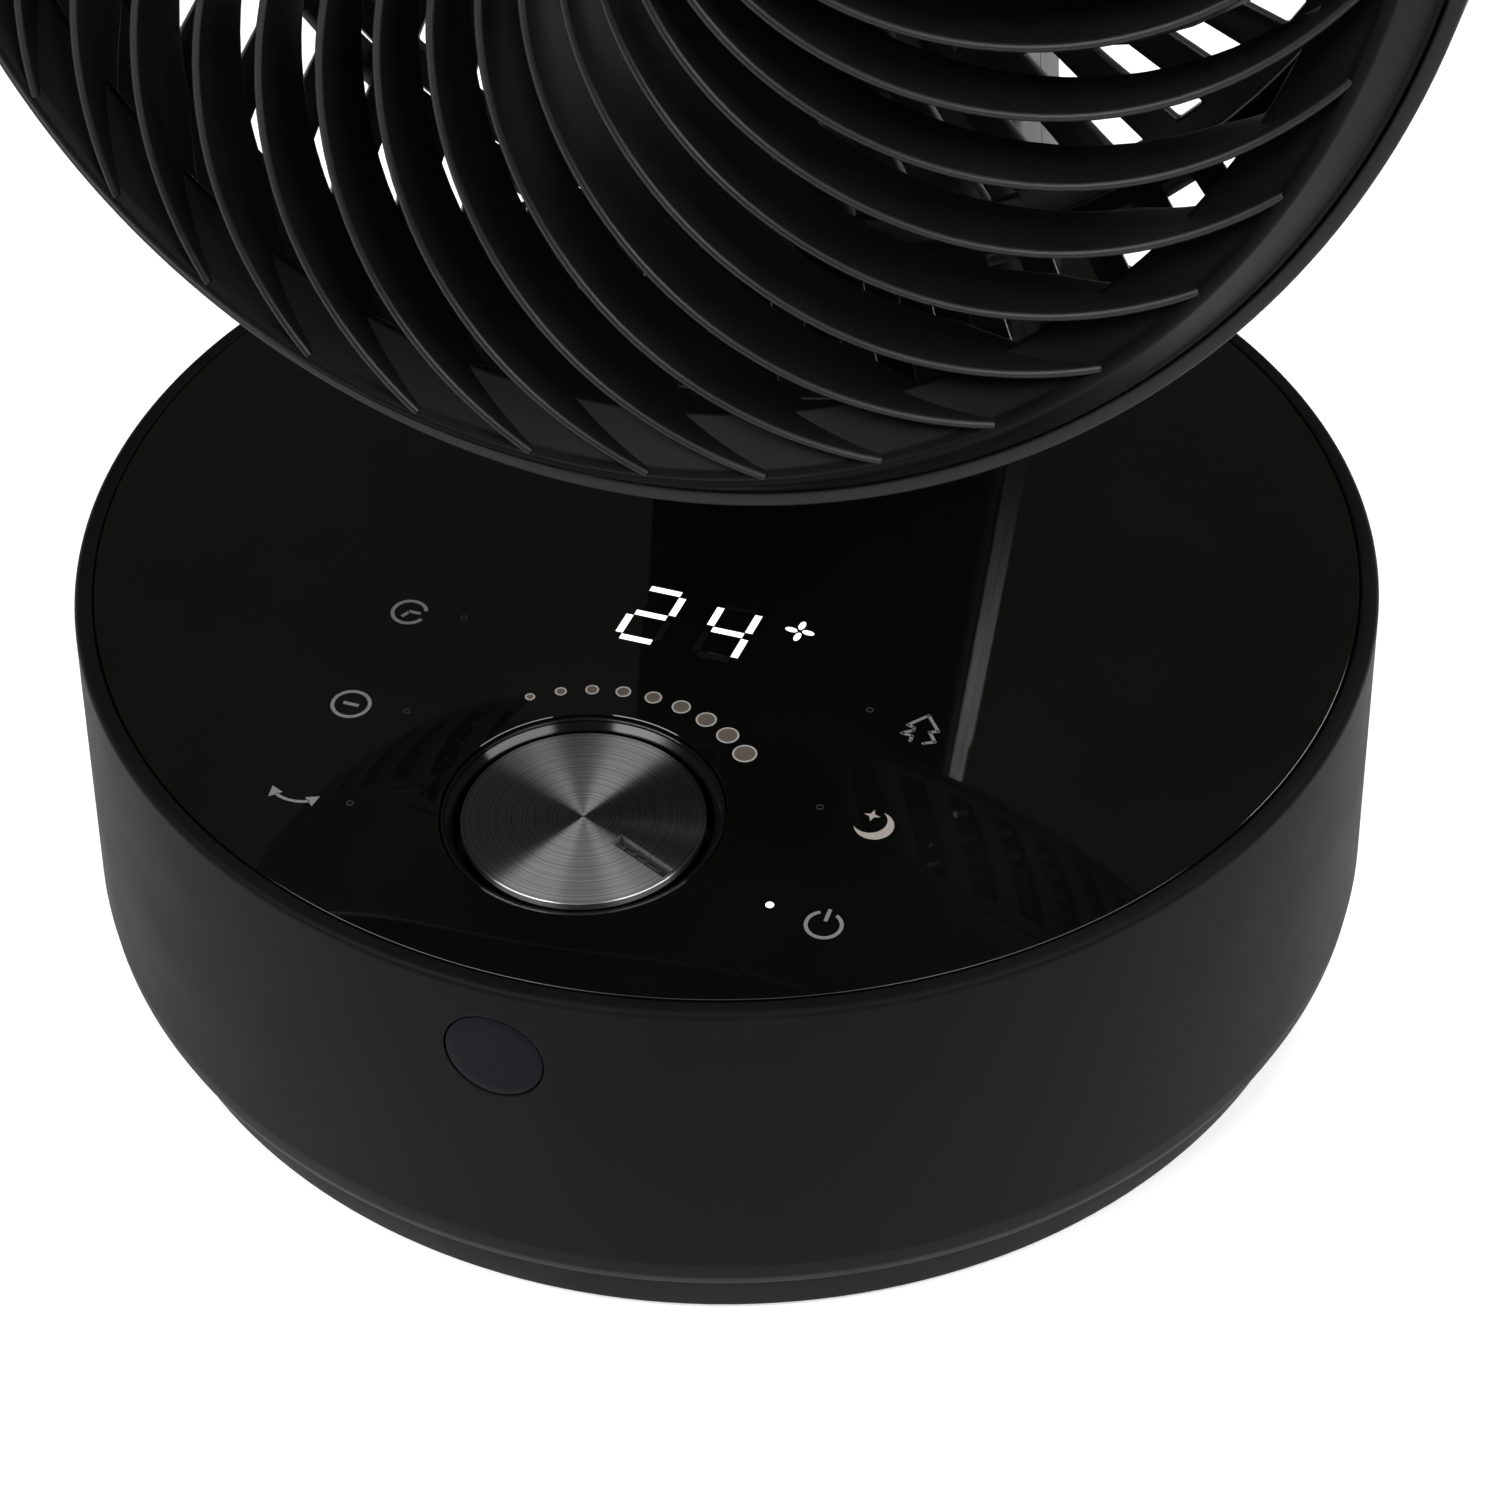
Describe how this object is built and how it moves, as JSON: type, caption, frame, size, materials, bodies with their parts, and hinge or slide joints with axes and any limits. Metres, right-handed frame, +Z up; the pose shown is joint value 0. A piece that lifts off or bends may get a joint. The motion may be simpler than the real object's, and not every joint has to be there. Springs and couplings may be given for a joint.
{
  "type": "air circulator fan",
  "caption": "Table air circulator: round swinging base with a glass touch panel and a knob, a leaning neck, and a tilting head with a swirl grille in front of the fan",
  "frame": {"origin": "centre of the rubber feet on the ground, on the swing axis of the base", "axes": "+Z up, -Y to the front where the knob and the face of the head are, +X to the object's left, which is the right in a front view"},
  "size_m": [0.2624, 0.2566, 0.4016],
  "materials": {
    "satin_black": "fine-textured satin black plastic",
    "dark_plastic": "smooth black plastic",
    "gloss_black": "polished black plastic",
    "black_glass": "polished glass printed black behind",
    "smoked_lens": "smoked plastic that lets infrared through",
    "spun_aluminium": "fine circular turning marks",
    "plain_steel": "zinc-plated steel",
    "motor_steel": "bare pressed steel",
    "pad_rubber": "soft matt rubber",
    "white_nylon": "natural nylon",
    "circuit_board": "green solder mask"
  },
  "bodies": {
    "foot": {"foot_disc": "satin_black", "foot_pad_1": "pad_rubber", "foot_pad_2": "pad_rubber", "foot_pad_3": "pad_rubber", "foot_pad_4": "pad_rubber", "foot_pad_5": "pad_rubber", "ballast_ring": "plain_steel", "slide_ring": "white_nylon", "power_inlet": "dark_plastic", "swing_gear": "white_nylon", "swing_retainer": "plain_steel"},
    "drum": {"drum_shell": "satin_black", "drum_floor": "dark_plastic", "top_deck": "dark_plastic", "glass_panel": "black_glass", "control_board": "circuit_board", "display_module": "white_nylon", "ir_window": "smoked_lens", "ir_receiver": "dark_plastic", "encoder": "dark_plastic", "dial_well": "gloss_black", "swing_motor": "motor_steel", "neck_front_shell": "satin_black", "neck_rear_shell": "satin_black", "neck_spine": "plain_steel", "neck_yoke": "satin_black", "tilt_pin": "plain_steel", "tilt_washer_left": "white_nylon", "tilt_washer_right": "white_nylon", "pivot_cap_left": "satin_black", "pivot_cap_right": "satin_black"},
    "pinion": {"swing_pinion": "white_nylon"},
    "knob": {"knob_body": "gloss_black", "knob_cap": "spun_aluminium", "knob_pointer": "dark_plastic", "encoder_spindle": "motor_steel"},
    "head": {"front_grille": "satin_black", "centre_cap": "satin_black", "shroud": "satin_black", "rear_guard": "satin_black", "rear_grille": "satin_black", "motor_cover": "satin_black", "motor_bell": "motor_steel", "front_bearing": "motor_steel", "rear_bearing": "motor_steel", "stator": "motor_steel", "tilt_knuckle": "satin_black"},
    "fan": {"rotor": "motor_steel", "motor_shaft": "motor_steel", "fan_blade": "dark_plastic", "blade_nut": "dark_plastic"}
  },
  "joints": [
    {"name": "swing", "type": "hinge", "parent": "foot", "child": "drum", "pos_m": [0, 0, 0.0117], "axis": [0, 0, 1], "range_deg": [-40, 40]},
    {"name": "pinion_spin", "type": "hinge", "parent": "drum", "child": "pinion", "pos_m": [0.042, 0, 0.018], "axis": [0, 0, 1], "range_deg": [-105, 105]},
    {"name": "knob_turn", "type": "hinge", "parent": "drum", "child": "knob", "pos_m": [0, -0.0797, 0.079], "axis": [0, 0, 1], "continuous": true},
    {"name": "tilt", "type": "hinge", "parent": "drum", "child": "head", "pos_m": [0, 0.05413, 0.226], "axis": [-1, 0, 0], "range_deg": [-10, 60]},
    {"name": "fan_spin", "type": "hinge", "parent": "head", "child": "fan", "pos_m": [0, -0.0525, 0.2746], "axis": [0, -0.9838, 0.1793], "continuous": true}
  ],
  "couplings": [
    {"joint": "pinion_spin", "follows": "swing", "ratio": 2.5}
  ]
}
